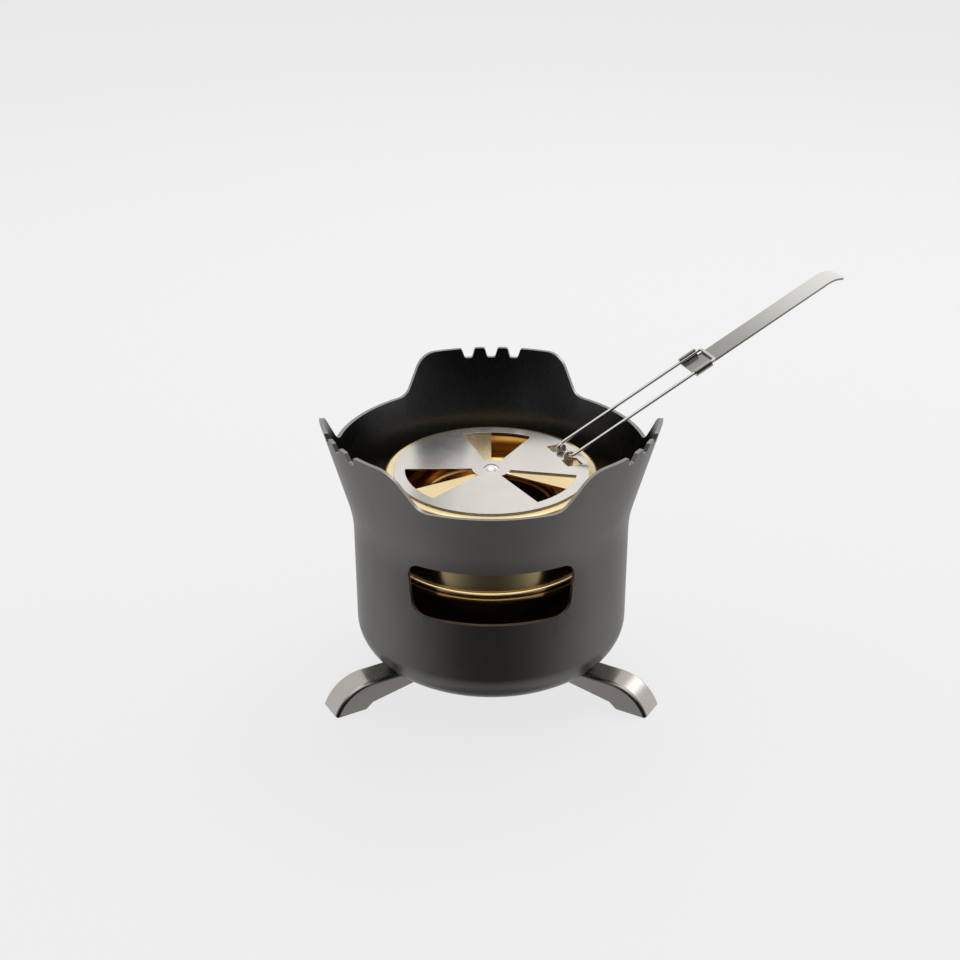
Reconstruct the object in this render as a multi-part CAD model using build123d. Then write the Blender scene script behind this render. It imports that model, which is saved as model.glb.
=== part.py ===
from build123d import *
import os
from math import asin, atan, cos, degrees, radians, sin, sqrt, tan

# Alcohol stove: a flared wind shield on three folding feet, a brass spirit
# burner standing in it, and a simmer cap with a turning damper and a
# telescoping wire handle.
# Millimetres, +Z up. The origin is on the stove's axis, in the plane that the
# feet stand on. Azimuths are counted from +X towards +Y.

# Feet: channels folded from steel sheet, each on its own upright rivet
foot_azimuths = {"rear": 90.0, "left": 210.0, "right": 330.0}
foot_height = 10.1
foot_width = 10.5
foot_sheet = 1.0
foot_edge_radius = 1.4
foot_pivot_radius = 28.0
foot_tip_radius = 64.2
foot_arch_length = 14.2
foot_tip_lift = 0.4
foot_sole_length = 11.0
foot_step_length = 2.6
foot_step_rise = 2.1
foot_edge_slope = 0.175

# Foot rivets and the washers that the feet swing on
foot_rivet_radius = 1.5
foot_rivet_clearance = 0.08
foot_rivet_head_radius = 3.0
foot_rivet_head_face = 2.1
foot_rivet_head = 1.0
foot_rivet_pad = 0.8
foot_washer_radius = 4.2
foot_washer_thickness = 0.3

# Wind shield: drawn from aluminium sheet, then trimmed to three pot tabs
shell_radius = 47.5
shell_wall = 1.3
shell_corner = 12.5
shell_straight_height = 46.8
flare_bend_radius = 46.0
flare_angle = 15.4
rim_height = 75.4
tab_rise = 13.6
tab_azimuths = (90.0, 210.0, 330.0)
tab_flank_half_angle = 30.8
tab_flank_slope = 57.0
tab_shoulder_radius = 9.5
tab_root_radius = 6.0
notch_count = 3
notch_pitch_angle = 8.6
notch_mouth = 4.9
notch_floor = 2.7
notch_depth = 3.3
notch_radius = 0.8

# Air windows, one between each two tabs
window_azimuths = (270.0, 30.0, 150.0)
window_sill = 33.5
window_height = 19.1
window_half_angle = 35.2
window_end_lean = 6.0
window_top_radius = 4.5
window_bottom_radius = 5.5

# Spirit burner: cup, neck with jets, inner sleeve and wick, all but the wick brass
cup_radius = 34.5
cup_wall = 0.7
cup_corner = 4.0
cup_height = 34.5
seam_radius = 37.0
seam_bead = 1.05
seam_bead_lift = 0.3
seam_flat_drop = 0.1
neck_radius = 33.2
neck_wall = 0.7
neck_straight = 16.7
neck_flange_gap = 0.05
well_radius = 21.1
sleeve_wall = 0.6
sleeve_gap = 0.1
sleeve_overlap = 4.0
sleeve_floor_gap = 0.9
jet_count = 20
jet_radius = 0.7
jet_angle = 50.0
thread_turns = 3
thread_pitch = 2.0
thread_ridge = 0.35
thread_rise = 4.2
wick_gap = 0.7
wick_outer_gap = 0.3
wick_height = 24.8

# Simmer cap: a brass lid whose rolled foot stands on the burner's seam
cap_radius = 36.6
cap_sheet = 0.8
cap_height = 28.75
cap_shoulder = 1.5
cap_bead = 1.1
cap_bead_flat_drop = 0.2
sector_count = 3
cap_sector_start = 41.0
cap_sector_angle = 49.0
cap_sector_inner = 6.2
sector_outer = 29.4

# Damper: a steel disc that turns on the cap and carries the handle's lugs
damper_radius = 33.4
damper_sheet = 0.6
damper_sector_start = 61.1
damper_sector_angle = 48.6
damper_sector_inner = 6.6

# Centre rivet with its washers
rivet_radius = 1.4
rivet_clearance = 0.05
rivet_dome_radius = 2.6
rivet_dome_height = 1.3
rivet_tail_radius = 2.4
rivet_tail_face = 1.45
rivet_tail_height = 1.0
rivet_washer_radius = 3.4
rivet_washer_thickness = 0.5
rivet_washer_clearance = 0.2
spring_washer_radius = 4.4
spring_washer_sheet = 0.3
spring_washer_lift = 0.3

# Lugs bent up out of square cut-outs in the damper
lug_inner_face = 2.75
lug_length = 3.6
lug_above_pin = 1.15
lug_corner = 1.3
cutout_length = 5.6
cutout_width = 5.6
pin_height = 1.6
pin_clearance = 0.06

# Handle: one bent wire, pinned in the lugs
handle_azimuth = 22.4
handle_pin_radius = 27.6
handle_over_rim = 6.6
wire_radius = 0.6
wire_half_spacing = 5.15
wire_length = 61.25
wire_bend_radius = 1.3
pin_head_radius = 1.0
pin_head_length = 0.5
pin_head_gap = 0.35

# Blade: flat strip whose rolled ears slide along the wire
blade_sheet = 0.8
blade_half_width = 4.3
blade_slide_clearance = 0.08
blade_ear_length = 6.8
blade_ear_wrap = 195.0
blade_end = 110.8
blade_lip_radius = 10.0
blade_lip_angle = 30.0
blade_lip_length = 2.0
blade_end_corner = 1.0

# Cutters of a tab, a dip and a window reach past each other by these shares
flank_cut_share = 0.75
dip_cut_share = 0.6
tab_cut_share = 0.5
window_end_share = 0.8
window_end_cut_share = 0.6
window_middle_share = 0.7

# How near two points lie when they count as one
same_point = 0.01

# Heights that follow from the stack of pieces
shell_underside = foot_height + foot_washer_thickness
shell_floor = shell_underside + shell_wall
burner_base = shell_floor + foot_rivet_pad
seam_plane = burner_base + cup_height
seam_top = seam_plane + seam_bead_lift + seam_bead - seam_flat_drop
cap_top = seam_top + cap_height
damper_top = cap_top + damper_sheet
pin_z = damper_top + pin_height
flare_start = shell_underside + shell_straight_height
rim_z = shell_underside + rim_height
tab_top = rim_z + tab_rise

os.makedirs("parts", exist_ok=True)
nodes = {}


# Shared shapes

def polygon(*points):
    return make_face(Polyline(*points, close=True))


def polar(radius, azimuth):
    return (radius * cos(radians(azimuth)), radius * sin(radians(azimuth)))


def turned(profile):
    """Turn a profile of radius and height about the stove's axis."""
    return revolve(Plane.XZ * profile, axis=Axis.Z)


def ring(inner, outer, bottom, top):
    """A flat ring about the stove's axis."""
    return turned(polygon((inner, bottom), (outer, bottom), (outer, top), (inner, top)))


def radial_cut(outline, azimuth, start, end):
    """Drive an outline, drawn as across and up, outwards along one azimuth."""
    out = Vector(cos(radians(azimuth)), sin(radians(azimuth)), 0)
    across = Vector(-out.Y, out.X, 0)
    plane = Plane(origin=out * start, x_dir=across, z_dir=out)
    return extrude(plane * outline, end - start)


def sector(inner, outer, start, angle, bottom, top):
    """A wedge of a ring, with straight sides that point at the axis."""
    end = start + angle
    face = make_face(Curve() + [
        CenterArc((0, 0), inner, start, angle),
        Line(polar(inner, end), polar(outer, end)),
        CenterArc((0, 0), outer, start, angle),
        Line(polar(outer, start), polar(inner, start)),
    ])
    return extrude(Pos(0, 0, bottom) * face, top - bottom)


# Wind shield

def shell_line(depth):
    """The wall's outline at a depth below its outer face, from axis to tab top."""
    radius = shell_radius - depth
    bottom = shell_underside + depth
    corner = shell_corner - depth
    bend = flare_bend_radius + depth
    lean = radians(flare_angle)
    floor_line = Line((0, bottom), (radius - corner, bottom))
    corner_arc = CenterArc((radius - corner, bottom + corner), corner, -90, 90)
    wall_line = Line(corner_arc @ 1, (radius, flare_start))
    bend_arc = CenterArc((radius + bend, flare_start), bend, 180, -flare_angle)
    bend_end = bend_arc @ 1
    flare_top = (bend_end.X + (tab_top - bend_end.Y) * tan(lean), tab_top)
    flare_line = Line(bend_end, flare_top)
    return [floor_line, corner_arc, wall_line, bend_arc, flare_line], flare_top


def shell_radius_at(height):
    """Outer radius of the wall at a height."""
    lean = radians(flare_angle)
    bend_top = flare_start + flare_bend_radius * sin(lean)
    bend_out = shell_radius + flare_bend_radius * (1 - cos(lean))
    if height < flare_start:
        return shell_radius
    if height < bend_top:
        rise = (height - flare_start) / flare_bend_radius
        return shell_radius + flare_bend_radius * (1 - sqrt(1 - rise * rise))
    return bend_out + (height - bend_top) * tan(lean)


outer_line, outer_top = shell_line(0.0)
inner_line, inner_top = shell_line(shell_wall)
shell_blank = turned(make_face(Curve() + outer_line + inner_line + [
    Line(outer_top, inner_top),
    Line((0, shell_underside), (0, shell_floor)),
]))

cut_start = shell_radius / 2
cut_end = outer_top[0] + shell_wall * 4
cut_above = tab_top + shell_wall * 4

rim_radius = shell_radius_at(rim_z)
tab_radius = shell_radius_at(tab_top)

# One flank of a tab, seen from outside and drawn as across and up: the dip is
# on the left, the tab on the right
half_pitch = 180 / len(tab_azimuths)
dip_half_angle = half_pitch - tab_flank_half_angle
flank_run = tab_rise / tan(radians(tab_flank_slope))
flank_reach = rim_radius * sin(radians(dip_half_angle) * flank_cut_share)
tab_reach = tab_radius * sin(radians(tab_flank_half_angle) * tab_cut_share)
flank_edge = FilletPolyline(
    (-flank_reach, rim_z),
    (-flank_run / 2, rim_z),
    (flank_run / 2, tab_top),
    (tab_reach, tab_top),
    radius=[tab_root_radius, tab_shoulder_radius],
)
flank_cutter = make_face(Curve() + [
    flank_edge,
    Polyline((tab_reach, tab_top), (tab_reach, cut_above),
             (-flank_reach, cut_above), (-flank_reach, rim_z)),
])
dip_reach = rim_radius * sin(radians(dip_half_angle) * dip_cut_share)
dip_cutter = polygon((-dip_reach, rim_z), (dip_reach, rim_z),
                     (dip_reach, cut_above), (-dip_reach, cut_above))
notch_edge = FilletPolyline(
    (-notch_mouth / 2 - notch_radius, tab_top),
    (-notch_mouth / 2, tab_top),
    (-notch_floor / 2, tab_top - notch_depth),
    (notch_floor / 2, tab_top - notch_depth),
    (notch_mouth / 2, tab_top),
    (notch_mouth / 2 + notch_radius, tab_top),
    radius=notch_radius,
)
notch_cutter = make_face(Curve() + [
    notch_edge,
    Polyline((notch_mouth / 2 + notch_radius, tab_top),
             (notch_mouth / 2 + notch_radius, cut_above),
             (-notch_mouth / 2 - notch_radius, cut_above),
             (-notch_mouth / 2 - notch_radius, tab_top)),
])

shell = shell_blank
for azimuth in tab_azimuths:
    tab_centre = Vector(cos(radians(azimuth)), sin(radians(azimuth)), 0)
    left_cut = radial_cut(flank_cutter, azimuth - tab_flank_half_angle, cut_start, cut_end)
    right_cut = mirror(left_cut, Plane(origin=(0, 0, 0), z_dir=(-tab_centre.Y, tab_centre.X, 0)))
    shell = shell - left_cut - right_cut
    shell = shell - radial_cut(dip_cutter, azimuth + half_pitch, cut_start, cut_end)
    for index in range(notch_count):
        offset = (index - (notch_count - 1) / 2) * notch_pitch_angle
        shell = shell - radial_cut(notch_cutter, azimuth + offset, cut_start, cut_end)

# A window is one straight-sided middle and two ends that lean in at the bottom
sill_z = shell_underside + window_sill
head_z = sill_z + window_height
end_angle = window_half_angle * window_end_share
end_across = shell_radius * sin(radians(window_half_angle - end_angle))
end_lean = window_height * tan(radians(window_end_lean))
end_reach = shell_radius * sin(radians(end_angle) * window_end_cut_share)
window_end = make_face(Curve() + [
    FilletPolyline(
        (-end_reach, head_z),
        (end_across, head_z),
        (end_across - end_lean, sill_z),
        (-end_reach, sill_z),
        radius=[window_top_radius, window_bottom_radius],
    ),
    Line((-end_reach, sill_z), (-end_reach, head_z)),
])
middle_reach = shell_radius * sin(radians(end_angle) * window_middle_share)
window_middle = polygon((-middle_reach, sill_z), (middle_reach, sill_z),
                        (middle_reach, head_z), (-middle_reach, head_z))
for azimuth in window_azimuths:
    centre = Vector(cos(radians(azimuth)), sin(radians(azimuth)), 0)
    one_end = radial_cut(window_end, azimuth + end_angle, cut_start, cut_end)
    other_end = mirror(one_end, Plane(origin=(0, 0, 0), z_dir=(-centre.Y, centre.X, 0)))
    middle = radial_cut(window_middle, azimuth, cut_start, cut_end)
    shell = shell - one_end - other_end - middle

rivet_hole = Pos(foot_pivot_radius, 0, shell_underside + shell_wall / 2) * Cylinder(
    foot_rivet_radius, shell_wall * 2)
for azimuth in foot_azimuths.values():
    shell = shell - Rot(0, 0, azimuth) * rivet_hole
nodes["windshield_shell"] = shell

# Feet, drawn pointing along +X

arch_drop = foot_height - foot_tip_lift
arch_radius = (foot_arch_length ** 2 + arch_drop ** 2) / (2 * arch_drop)
arch_start = foot_tip_radius - foot_arch_length
arch_centre = (arch_start, foot_height - arch_radius)
heel_radius = foot_pivot_radius - foot_width / 2
sole_tip = foot_tip_radius - foot_tip_lift
sole_heel = sole_tip - foot_sole_length
step_radius = sole_heel - foot_step_length
heel_edge_z = foot_step_rise + (step_radius - heel_radius) * foot_edge_slope


def foot_profile():
    """Side view of a foot as a solid bar, as radius and height."""
    sweep_angle = degrees(asin(foot_arch_length / arch_radius))
    arch = CenterArc(arch_centre, arch_radius, 90, -sweep_angle)
    return make_face(Curve() + [
        Line((heel_radius, foot_height), (arch_start, foot_height)),
        arch,
        Polyline(arch @ 1, (sole_tip, 0), (sole_heel, 0), (step_radius, foot_step_rise),
                 (heel_radius, heel_edge_z), (heel_radius, foot_height)),
    ])


def foot_hollow():
    """The channel's inside, open below and at the heel."""
    below = foot_sheet
    inner_radius = arch_radius - foot_sheet
    sweep_angle = 90 - degrees(asin((-below - arch_centre[1]) / inner_radius))
    arch = CenterArc(arch_centre, inner_radius, 90, -sweep_angle)
    ceiling = foot_height - foot_sheet
    open_end = heel_radius - foot_sheet
    return make_face(Curve() + [
        Line((open_end, ceiling), (arch_start, ceiling)),
        arch,
        Polyline(arch @ 1, (open_end, -below), (open_end, ceiling)),
    ])


def on_crown(point):
    """Whether a point is an end of the line where the foot's top meets its sides."""
    ends = ((heel_radius, foot_height), (arch_start, foot_height),
            (foot_tip_radius, foot_tip_lift))
    return any(abs(point.X - radius) < same_point and abs(point.Z - height) < same_point
               for radius, height in ends)


foot_bar = extrude(Plane.XZ * foot_profile(), foot_width / 2, both=True)
crown_edges = [
    edge for edge in foot_bar.edges()
    if all(on_crown(vertex) for vertex in edge.vertices())
    and abs((edge @ 0).Y - (edge @ 1).Y) < same_point
]
foot_bar = fillet(crown_edges, foot_edge_radius)
foot_plan = extrude(
    Pos((foot_pivot_radius + foot_tip_radius) / 2, 0, -foot_sheet)
    * Rectangle(foot_tip_radius - foot_pivot_radius, foot_width),
    foot_height + 2 * foot_sheet,
) + Pos(foot_pivot_radius, 0, foot_height / 2) * Cylinder(
    foot_width / 2, foot_height + 2 * foot_sheet)
foot_inside = extrude(Plane.XZ * foot_hollow(), foot_width / 2 - foot_sheet, both=True)
foot_rivet_bore = Pos(foot_pivot_radius, 0, foot_height) * Cylinder(
    foot_rivet_radius + foot_rivet_clearance, 4 * foot_sheet)
foot = (foot_bar & foot_plan) - foot_inside - foot_rivet_bore

# Foot rivet: a head under the foot, a shank, and a flat pad on the shell's floor
rivet_head_top = foot_height - foot_sheet
foot_rivet = Pos(foot_pivot_radius, 0, 0) * turned(polygon(
    (0, rivet_head_top - foot_rivet_head),
    (foot_rivet_head_face, rivet_head_top - foot_rivet_head),
    (foot_rivet_head_radius, rivet_head_top - foot_rivet_head / 2),
    (foot_rivet_head_radius, rivet_head_top),
    (foot_rivet_radius, rivet_head_top),
    (foot_rivet_radius, shell_floor),
    (foot_rivet_head_radius, shell_floor),
    (foot_rivet_head_radius, burner_base),
    (0, burner_base),
))
foot_washer = Pos(foot_pivot_radius, 0, 0) * ring(
    foot_rivet_radius + foot_rivet_clearance, foot_washer_radius,
    foot_height, shell_underside)
for side, azimuth in foot_azimuths.items():
    nodes["foot_" + side] = Rot(0, 0, azimuth) * foot
    nodes["foot_rivet_" + side] = Rot(0, 0, azimuth) * foot_rivet
    nodes["foot_washer_" + side] = Rot(0, 0, azimuth) * foot_washer

# Burner cup: a drawn cup whose lip is rolled into the seam

seam_centre = (seam_radius, seam_plane + seam_bead_lift)
cup_inner = cup_radius - cup_wall


def cup_line(depth):
    radius = cup_radius - depth
    corner = cup_corner - depth
    bottom = burner_base + depth
    corner_arc = CenterArc((radius - corner, bottom + corner), corner, -90, 90)
    return [Line((0, bottom), (radius - corner, bottom)), corner_arc,
            Line(corner_arc @ 1, (radius, seam_plane))]


cup = turned(make_face(Curve() + cup_line(0.0) + cup_line(cup_wall) + [
    Line((cup_radius, seam_plane), (cup_inner, seam_plane)),
    Line((0, burner_base), (0, burner_base + cup_wall)),
]))
cup_lip = ring(cup_inner, seam_radius, seam_plane - cup_wall, seam_plane)
seam_roll = turned(Pos(*seam_centre) * Circle(seam_bead))
seam_trim = ring(seam_radius - 2 * seam_bead, seam_radius + 2 * seam_bead,
                 seam_top, seam_top + seam_bead)
nodes["burner_cup"] = cup + cup_lip + (seam_roll - seam_trim)

# Burner neck: it stands on the cup's lip, inside the rolled seam, carries the
# thread of the storage lid and turns over into the fuel well
neck_flange_radius = seam_radius - seam_bead - neck_flange_gap
crown_z = seam_plane + neck_straight
crown_radius = (neck_radius - well_radius) / 2
crown_centre = (well_radius + crown_radius, crown_z)
well_lip_z = crown_z - sleeve_overlap
neck = turned(make_face(Curve() + [
    CenterArc(crown_centre, crown_radius, 0, 180),
    CenterArc(crown_centre, crown_radius - neck_wall, 0, 180),
    Polyline((neck_radius, crown_z), (neck_radius, seam_plane + neck_wall),
             (neck_flange_radius, seam_plane + neck_wall),
             (neck_flange_radius, seam_plane), (neck_radius - neck_wall, seam_plane),
             (neck_radius - neck_wall, crown_z)),
    Polyline((well_radius, crown_z), (well_radius, well_lip_z),
             (well_radius + neck_wall, well_lip_z), (well_radius + neck_wall, crown_z)),
]))
for turn in range(thread_turns):
    ridge_z = seam_plane + thread_rise + turn * thread_pitch
    neck = neck + turned(polygon(
        (neck_radius - neck_wall / 2, ridge_z - thread_pitch / 3),
        (neck_radius + thread_ridge, ridge_z),
        (neck_radius - neck_wall / 2, ridge_z + thread_pitch / 3),
    ))
jet_out = cos(radians(jet_angle)) * (crown_radius - neck_wall / 2)
jet_up = sin(radians(jet_angle)) * (crown_radius - neck_wall / 2)
jet = (Pos(crown_centre[0] + jet_out, 0, crown_z + jet_up)
       * Rot(0, 90 - jet_angle, 0) * Cylinder(jet_radius, 4 * neck_wall))
for index in range(jet_count):
    neck = neck - Rot(0, 0, index * 360 / jet_count) * jet
nodes["burner_neck"] = neck

# Inner sleeve: the fuel well's wall, held in the neck's lip
sleeve_outer = well_radius - sleeve_gap
sleeve_bottom = burner_base + cup_wall + sleeve_floor_gap
nodes["burner_sleeve"] = ring(sleeve_outer - sleeve_wall, sleeve_outer,
                              sleeve_bottom, crown_z)

# Wick: a felt ring packed between the sleeve and the cup
wick_outer = cup_inner - (cup_corner - cup_wall) - wick_outer_gap
wick_bottom = burner_base + cup_wall
nodes["burner_wick"] = ring(sleeve_outer + wick_gap, wick_outer,
                            wick_bottom, wick_bottom + wick_height)

# Simmer cap

cap_inner = cap_radius - cap_sheet
cap_bead_z = seam_top + cap_bead - cap_bead_flat_drop
cap_shoulder_centre = (cap_radius - cap_shoulder, cap_top - cap_shoulder)
cap_bore = rivet_radius + rivet_clearance
cap = turned(make_face(Curve() + [
    CenterArc(cap_shoulder_centre, cap_shoulder, 0, 90),
    CenterArc(cap_shoulder_centre, cap_shoulder - cap_sheet, 0, 90),
    Polyline((cap_radius, cap_shoulder_centre[1]), (cap_radius, cap_bead_z),
             (cap_inner, cap_bead_z), (cap_inner, cap_shoulder_centre[1])),
    Polyline((cap_shoulder_centre[0], cap_top), (cap_bore, cap_top),
             (cap_bore, cap_top - cap_sheet), (cap_shoulder_centre[0], cap_top - cap_sheet)),
]))
cap_roll = turned(Pos(seam_radius, cap_bead_z) * Circle(cap_bead))
cap_roll_trim = ring(seam_radius - 2 * cap_bead, seam_radius + 2 * cap_bead,
                     seam_top - cap_bead, seam_top)
cap = cap + (cap_roll - cap_roll_trim)
for index in range(sector_count):
    cap = cap - sector(cap_sector_inner, sector_outer,
                       cap_sector_start + index * 360 / sector_count, cap_sector_angle,
                       cap_top - 2 * cap_sheet, cap_top + cap_sheet)
nodes["simmer_cap"] = cap

# Damper disc with its two lugs

handle_out = Vector(cos(radians(handle_azimuth)), sin(radians(handle_azimuth)), 0)
handle_across = Vector(-handle_out.Y, handle_out.X, 0)
lug_outer_face = lug_inner_face + damper_sheet
lug_start = handle_pin_radius - lug_length / 2
lug_end = handle_pin_radius + lug_length / 2
lug_top = pin_z + lug_above_pin
damper = ring(rivet_radius + rivet_clearance, damper_radius, cap_top, damper_top)
for index in range(sector_count):
    damper = damper - sector(damper_sector_inner, sector_outer,
                             damper_sector_start + index * 360 / sector_count,
                             damper_sector_angle, cap_top - damper_sheet,
                             damper_top + damper_sheet)
lug_face = make_face(Curve() + [
    FilletPolyline((lug_start, damper_top - damper_sheet), (lug_start, lug_top),
                   (lug_end, lug_top), (lug_end, damper_top - damper_sheet),
                   radius=lug_corner),
    Line((lug_end, damper_top - damper_sheet), (lug_start, damper_top - damper_sheet)),
]) - Pos(handle_pin_radius, pin_z) * Circle(wire_radius + pin_clearance)
cutout = Pos(handle_pin_radius, lug_outer_face + cutout_width / 2, damper_top) * Box(
    cutout_length, cutout_width, 4 * damper_sheet)
lug = Pos(0, lug_outer_face, 0) * extrude(Plane.XZ * lug_face, damper_sheet)
for flip in (False, True):
    hole = mirror(cutout, Plane.XZ) if flip else cutout
    ear = mirror(lug, Plane.XZ) if flip else lug
    damper = damper - Rot(0, 0, handle_azimuth) * hole + Rot(0, 0, handle_azimuth) * ear
nodes["damper_disc"] = damper

# Centre rivet: dome on the damper, tail under the cap's washers

spring_bottom = cap_top - cap_sheet - spring_washer_lift - spring_washer_sheet
washer_bottom = spring_bottom - rivet_washer_thickness
tail_bottom = washer_bottom - rivet_tail_height
washer_bore = rivet_radius + rivet_washer_clearance
dome_sphere = (rivet_dome_radius ** 2 + rivet_dome_height ** 2) / (2 * rivet_dome_height)
dome_sweep = degrees(asin(rivet_dome_radius / dome_sphere))
dome_arc = CenterArc((0, damper_top + rivet_dome_height - dome_sphere), dome_sphere,
                     90, -dome_sweep)
nodes["centre_rivet"] = turned(make_face(Curve() + [
    dome_arc,
    Polyline(dome_arc @ 1, (rivet_radius, damper_top), (rivet_radius, washer_bottom),
             (rivet_tail_radius, washer_bottom),
             (rivet_tail_radius, tail_bottom + rivet_tail_height / 2),
             (rivet_tail_face, tail_bottom), (0, tail_bottom), dome_arc @ 0),
]))
nodes["spring_washer"] = turned(polygon(
    (washer_bore, spring_bottom),
    (spring_washer_radius, spring_bottom + spring_washer_lift),
    (spring_washer_radius, cap_top - cap_sheet),
    (washer_bore, spring_bottom + spring_washer_sheet),
))
nodes["rivet_washer"] = ring(washer_bore, rivet_washer_radius, washer_bottom, spring_bottom)

# Handle wire, drawn in its own plane: x along the handle, y across, z up off it

handle_lean = atan((rim_z + handle_over_rim - pin_z) / (rim_radius - handle_pin_radius))
handle_along = handle_out * cos(handle_lean) + Vector(0, 0, sin(handle_lean))
handle_up = handle_out * -sin(handle_lean) + Vector(0, 0, cos(handle_lean))
pin_point = handle_out * handle_pin_radius + Vector(0, 0, pin_z)
handle_plane = Plane(origin=pin_point, x_dir=handle_along, z_dir=handle_up)
pin_end = lug_inner_face - pin_head_gap
wire_path = FilletPolyline(
    (0, pin_end), (0, wire_half_spacing), (wire_length, wire_half_spacing),
    (wire_length, -wire_half_spacing), (0, -wire_half_spacing), (0, -pin_end),
    radius=wire_bend_radius,
)
wire_section = Plane(origin=wire_path @ 0, z_dir=wire_path % 0) * Circle(wire_radius)
wire = sweep(wire_section, path=wire_path)
pin_head = Pos(0, pin_end - pin_head_length / 2, 0) * Rot(90, 0, 0) * Cylinder(
    pin_head_radius, pin_head_length)
wire = wire + pin_head + mirror(pin_head, Plane.XZ)
nodes["handle_wire"] = handle_plane.location * wire

# Handle blade: a floor between two rolled ears, then a flat strip with a lip

ear_inner = wire_radius + blade_slide_clearance
ear_outer = ear_inner + blade_sheet
ear_end = wire_length - wire_radius - wire_bend_radius
ear_start = ear_end - blade_ear_length


def around_wire(radius, angle):
    across, up = polar(radius, angle)
    return (wire_half_spacing + across, up)


wrap_end = blade_ear_wrap - 90
ear_face = make_face(Curve() + [
    CenterArc((wire_half_spacing, 0), ear_inner, -90, blade_ear_wrap),
    Line(around_wire(ear_inner, wrap_end), around_wire(ear_outer, wrap_end)),
    CenterArc((wire_half_spacing, 0), ear_outer, -90, blade_ear_wrap),
    Line(around_wire(ear_outer, -90), around_wire(ear_inner, -90)),
])
ear_plane = Plane(origin=(ear_start, 0, 0), x_dir=(0, 1, 0), z_dir=(1, 0, 0))
ear_roll = extrude(ear_plane * ear_face, blade_ear_length)
ear_floor = Pos(ear_start + blade_ear_length / 2, 0, -(ear_inner + ear_outer) / 2) * Box(
    blade_ear_length, 2 * wire_half_spacing, blade_sheet)
lip_top = CenterArc((blade_end, -ear_inner - blade_lip_radius), blade_lip_radius,
                    90, -blade_lip_angle)
lip_bottom = CenterArc((blade_end, -ear_inner - blade_lip_radius),
                       blade_lip_radius - blade_sheet, 90, -blade_lip_angle)
lip_run = (blade_lip_length * cos(radians(blade_lip_angle)),
           -blade_lip_length * sin(radians(blade_lip_angle)))
lip_tip = lip_top @ 1 + Vector(*lip_run)
lip_under = lip_bottom @ 1 + Vector(*lip_run)
blade_side = make_face(Curve() + [
    Line((ear_start, -ear_inner), (blade_end, -ear_inner)),
    lip_top,
    Polyline(lip_top @ 1, lip_tip, lip_under, lip_bottom @ 1),
    lip_bottom,
    Polyline((blade_end, -ear_outer), (ear_start, -ear_outer), (ear_start, -ear_inner)),
])
blade_strip = extrude(Plane.XZ * blade_side, blade_half_width, both=True)
lip_end = min(lip_tip.X, lip_under.X) - same_point
blade_tip_edges = [
    edge for edge in blade_strip.edges()
    if min((edge @ 0).X, (edge @ 1).X) > lip_end
    and abs((edge @ 0).Y - (edge @ 1).Y) < same_point
]
blade_strip = fillet(blade_tip_edges, blade_end_corner)
blade = blade_strip + ear_floor + ear_roll + mirror(ear_roll, Plane.XZ)
nodes["handle_blade"] = handle_plane.location * blade

for name, solid in nodes.items():
    export_step(solid, "parts/" + name + ".step")
print("rim radius", round(rim_radius, 2), "tab radius", round(tab_radius, 2))
print("handle lean", round(degrees(handle_lean), 2), "pin height", round(pin_z, 2))
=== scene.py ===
from math import cos, radians, sin

import bmesh
import bpy
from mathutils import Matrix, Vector


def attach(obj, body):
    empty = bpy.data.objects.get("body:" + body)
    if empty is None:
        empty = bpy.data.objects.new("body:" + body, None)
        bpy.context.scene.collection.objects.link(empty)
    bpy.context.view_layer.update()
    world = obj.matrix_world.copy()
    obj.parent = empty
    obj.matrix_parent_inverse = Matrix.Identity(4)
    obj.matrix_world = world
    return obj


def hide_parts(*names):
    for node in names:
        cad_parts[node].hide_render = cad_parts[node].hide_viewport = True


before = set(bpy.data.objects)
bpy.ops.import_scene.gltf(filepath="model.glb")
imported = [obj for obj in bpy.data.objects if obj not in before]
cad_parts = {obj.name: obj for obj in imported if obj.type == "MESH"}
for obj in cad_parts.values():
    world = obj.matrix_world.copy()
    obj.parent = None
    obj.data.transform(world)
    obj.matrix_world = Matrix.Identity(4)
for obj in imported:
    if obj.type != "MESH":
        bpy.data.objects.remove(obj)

# Alcohol stove, dressed around its measured solids. Metres, +Z up, the
# origin on the stove's axis in the plane that the feet stand on.
bpy.context.view_layer.update()

# Feet: three channels pressed from stainless sheet, satin from the rolling
# mill, with the cut edges tumbled smooth. Each swings on its own rivet.

FOOT_AZIMUTHS = {"rear": 90.0, "left": 210.0, "right": 330.0}
FOOT_EDGE = 0.00012
FOOT_STEEL = (0.45, 0.423, 0.39, 1)
FOOT_ROUGHNESS = 0.24
FOOT_GRAIN = (300, 6000, 6000)
MERGE_GAP = 1e-6
FLAT_TURN = radians(0.5)
SHARP_TURN = radians(38)
EDGE_STEPS = 2
EVEN_SHADING_WEIGHT = 80
NOISE_TROUGH = 0.3
NOISE_CREST = 0.7
BUMP_STRENGTH = 0.5
GRAIN_RELIEF = 2.5e-6
GRAIN_ROUGHNESS = 0.05
MARK_SCALE = (45, 45, 45)
MARK_SHADES = (0.93, 1.05)
MARK_ROUGHNESS = (-0.02, 0.03)


def merged_copy(node):
    """A bmesh of a CAD node with its loose triangles joined into whole faces."""
    metal = bmesh.new()
    metal.from_mesh(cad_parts[node].data)
    bmesh.ops.remove_doubles(metal, verts=metal.verts, dist=MERGE_GAP)
    bmesh.ops.dissolve_limit(metal, angle_limit=FLAT_TURN, verts=metal.verts,
                             edges=metal.edges)
    return metal


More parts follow.
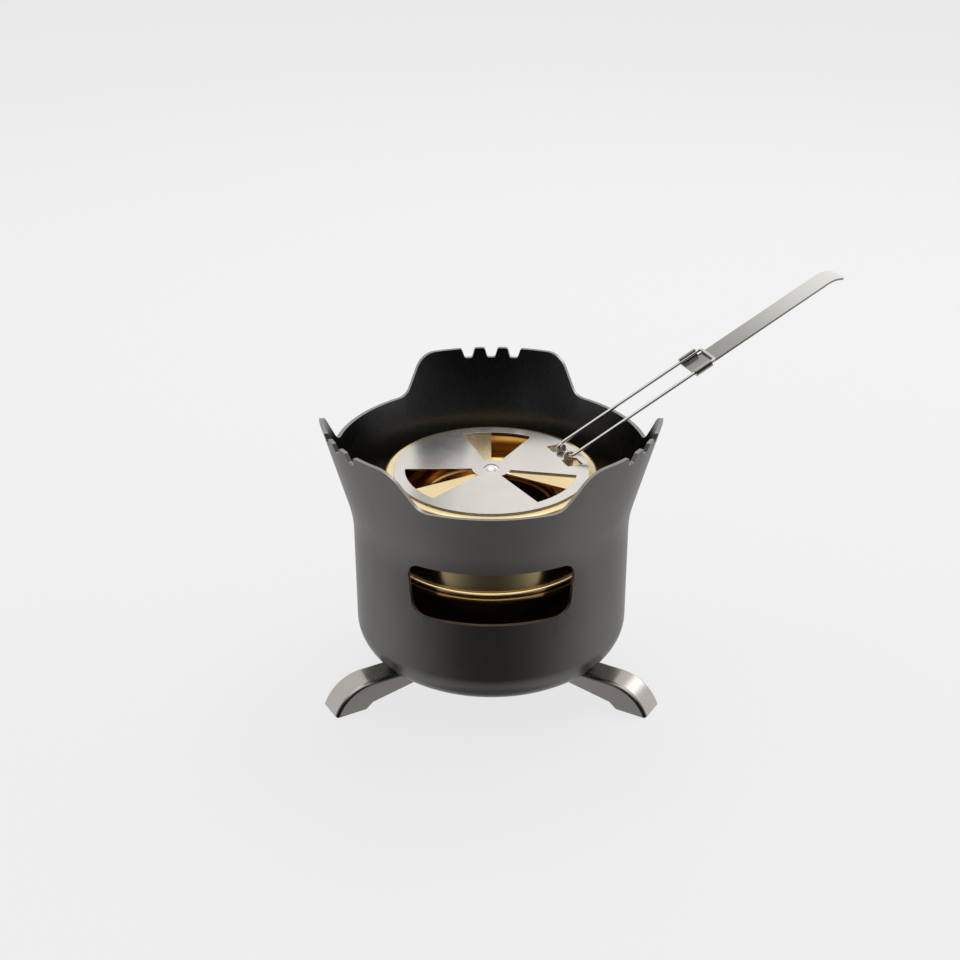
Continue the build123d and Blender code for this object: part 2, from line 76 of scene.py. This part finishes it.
def finished_piece(name, metal, materials, body, node, edge):
    """Hang a bmesh in the scene for a CAD node, its sharp edges broken by a small round."""
    for face in metal.faces:
        face.smooth = True
    mesh = bpy.data.meshes.new(name)
    metal.to_mesh(mesh)
    metal.free()
    for material in materials:
        mesh.materials.append(material)
    piece = bpy.data.objects.new(name, mesh)
    bpy.context.scene.collection.objects.link(piece)
    if edge:
        broken = piece.modifiers.new("broken_edges", "BEVEL")
        broken.limit_method = "ANGLE"
        broken.angle_limit = SHARP_TURN
        broken.width = edge
        broken.segments = EDGE_STEPS
        broken.use_clamp_overlap = True
    even = piece.modifiers.new("even_shading", "WEIGHTED_NORMAL")
    even.weight = EVEN_SHADING_WEIGHT
    even.keep_sharp = True
    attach(piece, body)
    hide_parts(node)
    return piece


def new_material(name):
    """An empty node material with its shader and its object coordinates."""
    material = bpy.data.materials.new(name)
    material.use_nodes = True
    nodes = material.node_tree.nodes
    shader = nodes["Principled BSDF"]
    place = nodes.new("ShaderNodeTexCoord").outputs["Object"]
    return material, shader, place


def noise(material, place, scale, turn=0.0, detail=3.0, roughness=0.55):
    """Noise with its own scale along x, y and z, turned about the stove's axis."""
    nodes, links = material.node_tree.nodes, material.node_tree.links
    mapping = nodes.new("ShaderNodeMapping")
    mapping.vector_type = "TEXTURE"
    mapping.inputs["Rotation"].default_value = (0, 0, radians(turn))
    mapping.inputs["Scale"].default_value = [1 / s for s in scale]
    links.new(place, mapping.inputs["Vector"])
    texture = nodes.new("ShaderNodeTexNoise")
    texture.inputs["Scale"].default_value = 1.0
    texture.inputs["Detail"].default_value = detail
    texture.inputs["Roughness"].default_value = roughness
    links.new(mapping.outputs["Vector"], texture.inputs["Vector"])
    return texture.outputs["Fac"]


def spread(material, value, low, high):
    """Bring a noise, which lies around a half, to run from low to high."""
    nodes, links = material.node_tree.nodes, material.node_tree.links
    remap = nodes.new("ShaderNodeMapRange")
    remap.inputs["From Min"].default_value = NOISE_TROUGH
    remap.inputs["From Max"].default_value = NOISE_CREST
    remap.inputs["To Min"].default_value = low
    remap.inputs["To Max"].default_value = high
    links.new(value, remap.inputs["Value"])
    return remap.outputs["Result"]


def tinted(material, value, dark, light):
    """A colour that runs from dark to light with a value from 0 to 1."""
    nodes, links = material.node_tree.nodes, material.node_tree.links
    mix = nodes.new("ShaderNodeMix")
    mix.data_type = "RGBA"
    mix.inputs["A"].default_value = dark
    mix.inputs["B"].default_value = light
    links.new(value, mix.inputs["Factor"])
    return mix.outputs["Result"]


def math_node(tree, operation, first, second):
    """A math node on two sockets or numbers."""
    node = tree.nodes.new("ShaderNodeMath")
    node.operation = operation
    for socket, value in zip(node.inputs, (first, second)):
        if isinstance(value, (int, float)):
            socket.default_value = value
        else:
            tree.links.new(value, socket)
    return node.outputs["Value"]


def added(material, first, second):
    """The sum of two values in a material."""
    return math_node(material.node_tree, "ADD", first, second)


def bumped(material, shader, height, distance):
    """Raise a fine relief on a material's surface."""
    nodes, links = material.node_tree.nodes, material.node_tree.links
    bump = nodes.new("ShaderNodeBump")
    bump.inputs["Strength"].default_value = BUMP_STRENGTH
    bump.inputs["Distance"].default_value = distance
    links.new(height, bump.inputs["Height"])
    links.new(bump.outputs["Normal"], shader.inputs["Normal"])


def shade(colour, factor):
    """A colour made darker or lighter."""
    return tuple(min(c * factor, 1.0) for c in colour[:3]) + (1,)


def rolled_metal(name, colour, roughness, grain, turn=0.0, relief=GRAIN_RELIEF):
    """Sheet or wire metal: grain lines from rolling or drawing, and faint handling marks."""
    material, shader, place = new_material(name)
    links = material.node_tree.links
    lines = noise(material, place, grain, turn)
    marks = noise(material, place, MARK_SCALE, detail=2.0)
    dark, light = [shade(colour, factor) for factor in MARK_SHADES]
    dullness = spread(material, lines, roughness - GRAIN_ROUGHNESS, roughness + GRAIN_ROUGHNESS)
    shader.inputs["Metallic"].default_value = 1.0
    links.new(tinted(material, spread(material, marks, 0, 1), dark, light),
              shader.inputs["Base Color"])
    links.new(added(material, dullness, spread(material, marks, *MARK_ROUGHNESS)),
              shader.inputs["Roughness"])
    bumped(material, shader, lines, relief)
    return material


for side, azimuth in FOOT_AZIMUTHS.items():
    foot_steel = rolled_metal("foot_steel_" + side, FOOT_STEEL, FOOT_ROUGHNESS,
                              FOOT_GRAIN, azimuth)
    finished_piece("foot_channel_" + side, merged_copy("foot_" + side), [foot_steel],
                   "foot_" + side, "foot_" + side, FOOT_EDGE)

# Foot rivets and washers: turned stainless rivets through thin wave washers,
# clenched from below, with a flat pad on the shell's floor.

PIN_STEEL = (0.62, 0.60, 0.57, 1)
PIN_ROUGHNESS = 0.18
PIN_GRAIN = (2500, 2500, 2500)
WASHER_GRAIN = (1500, 1500, 4000)

pin_metal = rolled_metal("pin_metal", PIN_STEEL, PIN_ROUGHNESS, PIN_GRAIN)
washer_metal = rolled_metal("washer_metal", FOOT_STEEL, FOOT_ROUGHNESS, WASHER_GRAIN)


def refinished(node, material):
    """Give a CAD node the finished material on each of its slots."""
    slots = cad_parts[node].data.materials
    for index in range(len(slots)):
        slots[index] = material


for side in FOOT_AZIMUTHS:
    refinished("foot_rivet_" + side, pin_metal)
    refinished("foot_washer_" + side, washer_metal)

# Wind shield: one aluminium cup, deep drawn, flared and hard anodised to a
# matt warm grey, with its inner wall and floor painted darker as painted shade.
# The rim, notches and windows are trimmed after the coating, so their edges
# show a thin line of bare metal, painted lighter still as a painted highlight.

OUTSIDE_GREY = (0.135, 0.130, 0.122, 1)
OUTSIDE_ROUGHNESS = 0.32
OUTSIDE_GRAZING = 0.72
# The inner wall and floor are painted darker than the outside, as painted shade.
INSIDE_SHADED_GREY = (0.105, 0.105, 0.108, 1)
INSIDE_ROUGHNESS = 0.28
INSIDE_GRAZING = 0.7
# The trimmed edges are lighter: partly bare metal, partly a painted highlight.
BARE_METAL_AND_HIGHLIGHT = (0.30, 0.285, 0.265, 1)
BARE_ROUGHNESS = 0.35
BARE_GRAIN = (1500, 1500, 1500)
TOOTH_SCALE = (5200, 5200, 5200)
TOOTH_ROUGHNESS = 0.05
TOOTH_RELIEF = 6e-6
CLOUD_SCALE = (38, 38, 38)
CLOUD_SHADES = (0.92, 1.08)
CLOUD_ROUGHNESS = 0.02
SHELL_EDGE = 0.00028
SHELL_FLOOR = 0.0117
FLOOR_SLACK = 0.0003
TRIM_OVER_FLOOR = 0.02
TRIM_ACROSS = 0.25
TRIM_UP = 0.5
INNER_FACING = -0.3
FLOOR_FACING = 0.3
AXIS_GAP = 1e-4


def anodised(name, colour, roughness, grazing):
    """Hard-anodised aluminium: a fine matt tooth with a slight metal gloss, duller at a slant."""
    material, shader, place = new_material(name)
    links = material.node_tree.links
    tooth = noise(material, place, TOOTH_SCALE, detail=4.0, roughness=0.7)
    cloud = noise(material, place, CLOUD_SCALE)
    dark, light = [shade(colour, factor) for factor in CLOUD_SHADES]
    dullness = spread(material, tooth, roughness - TOOTH_ROUGHNESS, roughness + TOOTH_ROUGHNESS)
    shader.inputs["Metallic"].default_value = 1.0
    shader.inputs["Specular Tint"].default_value = (grazing, grazing, grazing, 1)
    links.new(tinted(material, spread(material, cloud, 0, 1), dark, light),
              shader.inputs["Base Color"])
    links.new(added(material, dullness,
                    spread(material, cloud, -CLOUD_ROUGHNESS, CLOUD_ROUGHNESS)),
              shader.inputs["Roughness"])
    bumped(material, shader, tooth, TOOTH_RELIEF)
    return material


shell_outside = anodised("shell_outside", OUTSIDE_GREY, OUTSIDE_ROUGHNESS, OUTSIDE_GRAZING)
shell_inside_shaded = anodised("shell_inside_shaded", INSIDE_SHADED_GREY, INSIDE_ROUGHNESS, INSIDE_GRAZING)
shell_bare_edge_and_highlight = rolled_metal("shell_bare_edge_and_highlight", BARE_METAL_AND_HIGHLIGHT, BARE_ROUGHNESS, BARE_GRAIN)


def shell_faces_sorted(metal):
    """Outer wall 0, inner wall 1, trimmed edges 2, told apart by how each face looks out."""
    metal.normal_update()
    for face in metal.faces:
        centre = face.calc_center_median()
        out = centre.xy.length
        facing_out = face.normal.xy.dot(centre.xy) / out if out > AXIS_GAP else 0.0
        across = abs(face.normal.xy.cross(centre.xy)) / out if out > AXIS_GAP else 0.0
        cut = across > TRIM_ACROSS or abs(face.normal.z) > TRIM_UP
        on_floor = centre.z > SHELL_FLOOR - FLOOR_SLACK and face.normal.z > FLOOR_FACING
        if cut and centre.z > SHELL_FLOOR + TRIM_OVER_FLOOR:
            face.material_index = 2
        elif facing_out < INNER_FACING or on_floor:
            face.material_index = 1
        else:
            face.material_index = 0


shell_metal = merged_copy("windshield_shell")
shell_faces_sorted(shell_metal)
finished_piece("windshield", shell_metal, [shell_outside, shell_inside_shaded, shell_bare_edge_and_highlight],
               "shield", "windshield_shell", SHELL_EDGE)

# Spirit burner: cup and neck drawn from brass sheet, their lips rolled together
# in one seam, with an inner sleeve and a felt wick that the neck hides.

BURNER_BRASS = (0.92, 0.56, 0.20, 1)
BURNER_ROUGHNESS = 0.20
SLEEVE_BRASS = (0.26, 0.15, 0.06, 1)
SLEEVE_ROUGHNESS = 0.45
BRASS_GRAIN = (3000, 3000, 9000)
WICK_FELT = (0.66, 0.61, 0.50, 1)
FELT_SHADOW = 0.78
FELT_ROUGHNESS = 0.95
FELT_SHEEN = 0.4
FELT_RELIEF = 2.5e-4
FIBRE_SCALE = (1800, 1800, 2600)
LUMP_SCALE = (240, 240, 240)

burner_brass = rolled_metal("burner_brass", BURNER_BRASS, BURNER_ROUGHNESS, BRASS_GRAIN)
sleeve_brass = rolled_metal("sleeve_brass", SLEEVE_BRASS, SLEEVE_ROUGHNESS, BRASS_GRAIN)


def felted(name, colour):
    """Pressed wool felt: fine fibres over soft lumps."""
    material, shader, place = new_material(name)
    links = material.node_tree.links
    fibres = noise(material, place, FIBRE_SCALE, detail=6.0, roughness=0.75)
    lumps = noise(material, place, LUMP_SCALE)
    shader.inputs["Roughness"].default_value = FELT_ROUGHNESS
    shader.inputs["Sheen Weight"].default_value = FELT_SHEEN
    links.new(tinted(material, spread(material, fibres, 0, 1), shade(colour, FELT_SHADOW), colour),
              shader.inputs["Base Color"])
    bumped(material, shader, added(material, fibres, lumps), FELT_RELIEF)
    return material


refinished("burner_cup", burner_brass)
refinished("burner_neck", burner_brass)
refinished("burner_sleeve", sleeve_brass)
refinished("burner_wick", felted("wick_felt", WICK_FELT))

# Simmer cap: drawn brass lid with a rolled foot, satin on top, with three
# sector ports stamped through.

CAP_BRASS = (0.95, 0.74, 0.41, 1)
CAP_ROUGHNESS = 0.22
CAP_EDGE = 0.00008

cap_brass = rolled_metal("cap_satin_brass", CAP_BRASS, CAP_ROUGHNESS, BRASS_GRAIN)
finished_piece("simmer_lid", merged_copy("simmer_cap"), [cap_brass], "cap",
               "simmer_cap", CAP_EDGE)

# Damper: a stainless disc with matching ports and two lugs bent up from
# square cut-outs, satin finished.

DAMPER_STEEL = (0.78, 0.74, 0.69, 1)
DAMPER_ROUGHNESS = 0.20
DAMPER_GRAIN = (350, 5000, 5000)
DAMPER_EDGE = 0.0001
DAMPER_DISH = 1.1
DAMPER_TWIST = 2.2
HANDLE_AZIMUTH = 22.4

damper_steel = rolled_metal("damper_steel", DAMPER_STEEL, DAMPER_ROUGHNESS, DAMPER_GRAIN,
                            HANDLE_AZIMUTH)


def dished(material, dish, twist):
    """Let a flat sheet shade as if the press had left it dished and a little twisted.

    The dish and the twist are heights per square metre of the distance from the axis.
    """
    nodes, links = material.node_tree.nodes, material.node_tree.links
    split = nodes.new("ShaderNodeSeparateXYZ")
    links.new(nodes["Texture Coordinate"].outputs["Object"], split.inputs["Vector"])
    along, across = split.outputs["Y"], split.outputs["X"]
    bow = math_node(material.node_tree, "MULTIPLY", along, along)
    warp = math_node(material.node_tree, "MULTIPLY", along, across)
    height = math_node(material.node_tree, "ADD",
                       math_node(material.node_tree, "MULTIPLY", bow, dish),
                       math_node(material.node_tree, "MULTIPLY", warp, twist))
    sheet = nodes.new("ShaderNodeBump")
    sheet.inputs["Strength"].default_value = 1.0
    sheet.inputs["Distance"].default_value = 1.0
    links.new(height, sheet.inputs["Height"])
    links.new(sheet.outputs["Normal"], nodes["Bump"].inputs["Normal"])


dished(damper_steel, DAMPER_DISH, DAMPER_TWIST)
finished_piece("damper_plate", merged_copy("damper_disc"), [damper_steel], "damper",
               "damper_disc", DAMPER_EDGE)

# Centre rivet and its washers: a domed stainless rivet, polished by the
# setting tool, with a spring washer under the cap.

RIVET_STEEL = (0.72, 0.70, 0.67, 1)
RIVET_ROUGHNESS = 0.14

rivet_steel = rolled_metal("rivet_steel", RIVET_STEEL, RIVET_ROUGHNESS, PIN_GRAIN)
refinished("centre_rivet", rivet_steel)
refinished("spring_washer", washer_metal)
refinished("rivet_washer", washer_metal)

# Handle wire: hard stainless wire, drawn bright, bent to a long loop whose
# ends are upset inside the lugs.

WIRE_STEEL = (0.60, 0.585, 0.56, 1)
WIRE_ROUGHNESS = 0.20
WIRE_GRAIN = (250, 7000, 7000)

wire_steel = rolled_metal("wire_steel", WIRE_STEEL, WIRE_ROUGHNESS, WIRE_GRAIN, HANDLE_AZIMUTH)
refinished("handle_wire", wire_steel)

# Handle blade: stainless strip with two rolled ears that run on the wire and
# a lip turned down at its end.

BLADE_SHADED_STEEL = (0.33, 0.315, 0.29, 1)
BLADE_LIT_STEEL = (0.85, 0.83, 0.79, 1)
BLADE_ROUGHNESS = 0.24
BLADE_GRAIN = (250, 6000, 6000)
BLADE_RELIEF = 1.5e-6
BLADE_EDGE = 0.0001
BLADE_SHADE_TO = 0.08
BLADE_LIGHT_FROM = 0.14


def dot(tree, place, direction):
    """How far a place lies along a direction."""
    product = tree.nodes.new("ShaderNodeVectorMath")
    product.operation = "DOT_PRODUCT"
    tree.links.new(place, product.inputs[0])
    product.inputs[1].default_value = direction
    return product.outputs["Value"]


def eased(tree, value, start, end, low, high, ease="SMOOTHSTEP"):
    """A number that goes from low at start to high at end."""
    node = tree.nodes.new("ShaderNodeMapRange")
    node.interpolation_type = ease
    for name, number in (("From Min", start), ("From Max", end),
                         ("To Min", low), ("To Max", high)):
        node.inputs[name].default_value = number
    tree.links.new(value, node.inputs["Value"])
    return node.outputs["Result"]


def painted_light_along_handle(material, shaded, lit, start, end):
    """Run a strip's colour along the handle from painted shade nearer the stove to painted light
    toward its end.
    """
    tree = material.node_tree
    out = (cos(radians(HANDLE_AZIMUTH)), sin(radians(HANDLE_AZIMUTH)), 0)
    along = dot(tree, tree.nodes["Texture Coordinate"].outputs["Object"], out)
    shader = tree.nodes["Principled BSDF"]
    tree.links.new(tinted(material, eased(tree, along, start, end, 0, 1), shaded, lit),
                   shader.inputs["Base Color"])


# The blade's colour is painted shade nearer the stove and painted light toward its end.
blade_steel = rolled_metal("blade_steel", BLADE_SHADED_STEEL, BLADE_ROUGHNESS, BLADE_GRAIN,
                           HANDLE_AZIMUTH, BLADE_RELIEF)
painted_light_along_handle(blade_steel, BLADE_SHADED_STEEL, BLADE_LIT_STEEL, BLADE_SHADE_TO,
                    BLADE_LIGHT_FROM)
finished_piece("handle_grip", merged_copy("handle_blade"), [blade_steel], "blade",
               "handle_blade", BLADE_EDGE)

# Studio: a pale floor that keeps a soft shadow, lamps above and at the sides,
# and the camera at the photograph's place.

PALE = 0.863
FLOOR_GLOW = 0.873
SEEN_SHARE = 0.87
FLOOR_REACH = 4.0
FLOOR_SIDES = 64


def ray_kinds(tree):
    """Whether a ray comes straight from the camera, and whether off metal or through glass."""
    ray = tree.nodes.new("ShaderNodeLightPath").outputs
    mirrored = math_node(tree, "MAXIMUM", ray["Is Glossy Ray"], ray["Is Transmission Ray"])
    return ray["Is Camera Ray"], mirrored


floor_paint = bpy.data.materials.new("floor_paint")
floor_paint.use_nodes = True
tree = floor_paint.node_tree
direct, mirrored = ray_kinds(tree)
even_glow = tree.nodes.new("ShaderNodeEmission")
even_glow.inputs["Color"].default_value = (FLOOR_GLOW, FLOOR_GLOW, FLOOR_GLOW, 1)
matt = tree.nodes["Principled BSDF"]
matt.inputs["Base Color"].default_value = (PALE, PALE, PALE, 1)
matt.inputs["Roughness"].default_value = 1.0
matt.inputs["Specular IOR Level"].default_value = 0.0
blend = tree.nodes.new("ShaderNodeMixShader")
seen = math_node(tree, "MAXIMUM", direct, mirrored)
tree.links.new(math_node(tree, "MULTIPLY", SEEN_SHARE, seen), blend.inputs["Fac"])
tree.links.new(matt.outputs["BSDF"], blend.inputs[1])
tree.links.new(even_glow.outputs["Emission"], blend.inputs[2])
tree.links.new(blend.outputs["Shader"], tree.nodes["Material Output"].inputs["Surface"])

floor_mesh = bpy.data.meshes.new("floor")
floor_shape = bmesh.new()
bmesh.ops.create_circle(floor_shape, cap_ends=True, segments=FLOOR_SIDES, radius=FLOOR_REACH)
floor_shape.to_mesh(floor_mesh)
floor_shape.free()
floor_mesh.materials.append(floor_paint)
floor = bpy.data.objects.new("floor", floor_mesh)
bpy.context.scene.collection.objects.link(floor)
floor.visible_glossy = False

# Surround, seen only in metal: a room pale behind the stove and dark in front,
# with a pale ceiling brightest overhead, one window high at the right rear and
# a dim spot straight below.

SURROUND_LIGHT = 0.45
ROOM_DEPTH = (-0.20, 0.76)
ROOM_BEHIND = 0.95
ROOM_AHEAD = 0.015
LOW_FROM = -0.4
LOW_SHARE = 0.7
SIDE_HEIGHTS = (-0.5, 0.1)
LOW_SIDE = 0.97
CEILING_HEIGHTS = (0.45, 0.85)
UNDER_HEIGHTS = (-0.97, -0.88)
UNDER_SHARE = 0.3
WINDOW_TOWARDS = (0.62, 0.62, 0.48)
WINDOW_EDGE = (0.968, 0.986)
WINDOW_GLOW = 2.4
OVERHEAD_HEIGHTS = (0.8, 0.9)
OVERHEAD_GLOW = 0.5

world = bpy.data.worlds.new("surround")
bpy.context.scene.world = world
world.use_nodes = True
tree = world.node_tree
direct, mirrored = ray_kinds(tree)
towards = tree.nodes.new("ShaderNodeSeparateXYZ")
surround_place = tree.nodes.new("ShaderNodeTexCoord").outputs["Generated"]
tree.links.new(surround_place, towards.inputs["Vector"])
up = towards.outputs["Z"]
ahead = math_node(tree, "MULTIPLY", towards.outputs["Y"], -1.0)
low = math_node(tree, "MAXIMUM", 0.0, math_node(tree, "SUBTRACT", LOW_FROM, up))
ahead = math_node(tree, "SUBTRACT", ahead, math_node(tree, "MULTIPLY", low, LOW_SHARE))
room = eased(tree, ahead, *ROOM_DEPTH, ROOM_BEHIND, ROOM_AHEAD, "LINEAR")
room = math_node(tree, "MULTIPLY", room, eased(tree, up, *SIDE_HEIGHTS, LOW_SIDE, 1.0))
room = math_node(tree, "MAXIMUM", room, eased(tree, up, *CEILING_HEIGHTS, 0.0, PALE))
room = math_node(tree, "MULTIPLY", room, eased(tree, up, *UNDER_HEIGHTS, UNDER_SHARE, 1.0))
glow = eased(tree, dot(tree, surround_place, WINDOW_TOWARDS), *WINDOW_EDGE, 0.0, WINDOW_GLOW)
room = math_node(tree, "ADD", room, glow)
room = math_node(tree, "ADD", room, eased(tree, up, *OVERHEAD_HEIGHTS, 0.0, OVERHEAD_GLOW))
unseen = math_node(tree, "SUBTRACT", 1.0, math_node(tree, "MAXIMUM", direct, mirrored))
strength = math_node(tree, "ADD", math_node(tree, "MULTIPLY", direct, PALE),
                     math_node(tree, "MULTIPLY", mirrored, room))
strength = math_node(tree, "ADD", strength,
                     math_node(tree, "MULTIPLY", unseen, SURROUND_LIGHT))
surround = tree.nodes["Background"]
surround.inputs["Color"].default_value = (1, 1, 1, 1)
tree.links.new(strength, surround.inputs["Strength"])

# Lamps and camera: three soft boxes that shine on the stove, and a lens a
# little longer than normal that looks down at it from the front.

MIDDLE = Vector((0, 0, 0.05))
CAMERA_DISTANCE = 0.46431
CAMERA_HEIGHT = 0.30443
CAMERA_PITCH = 26.485
CAMERA_LENS = 56.79
CAMERA_SHIFT = -0.011635
CAMERA_CLIP = (0.01, 20)
SENSOR = 36.0


def softbox(name, place, width, height, power):
    """A rectangular lamp that faces the middle of the stove."""
    lamp = bpy.data.lights.new(name, "AREA")
    lamp.shape = "RECTANGLE"
    lamp.size = width
    lamp.size_y = height
    lamp.energy = power
    holder = bpy.data.objects.new(name, lamp)
    bpy.context.scene.collection.objects.link(holder)
    holder.location = place
    holder.rotation_euler = (holder.location - MIDDLE).to_track_quat("Z", "Y").to_euler()
    holder.visible_glossy = False


softbox("overhead", place=(0.15, 0.45, 0.95), width=0.8, height=0.8, power=7.0)
softbox("left_side", place=(-0.85, 0.25, 0.35), width=0.4, height=0.7, power=1.2)
softbox("right_side", place=(0.85, 0.25, 0.35), width=0.4, height=0.7, power=1.5)

camera = bpy.data.cameras.new("camera")
camera.lens = CAMERA_LENS
camera.sensor_width = SENSOR
camera.shift_x = CAMERA_SHIFT
camera.clip_start, camera.clip_end = CAMERA_CLIP
viewer = bpy.data.objects.new("camera", camera)
bpy.context.scene.collection.objects.link(viewer)
viewer.location = (0, -CAMERA_DISTANCE, CAMERA_HEIGHT)
viewer.rotation_euler = (radians(90 - CAMERA_PITCH), 0, 0)
bpy.context.scene.camera = viewer
bpy.context.scene.view_settings.view_transform = "Standard"

bpy.context.view_layer.update()
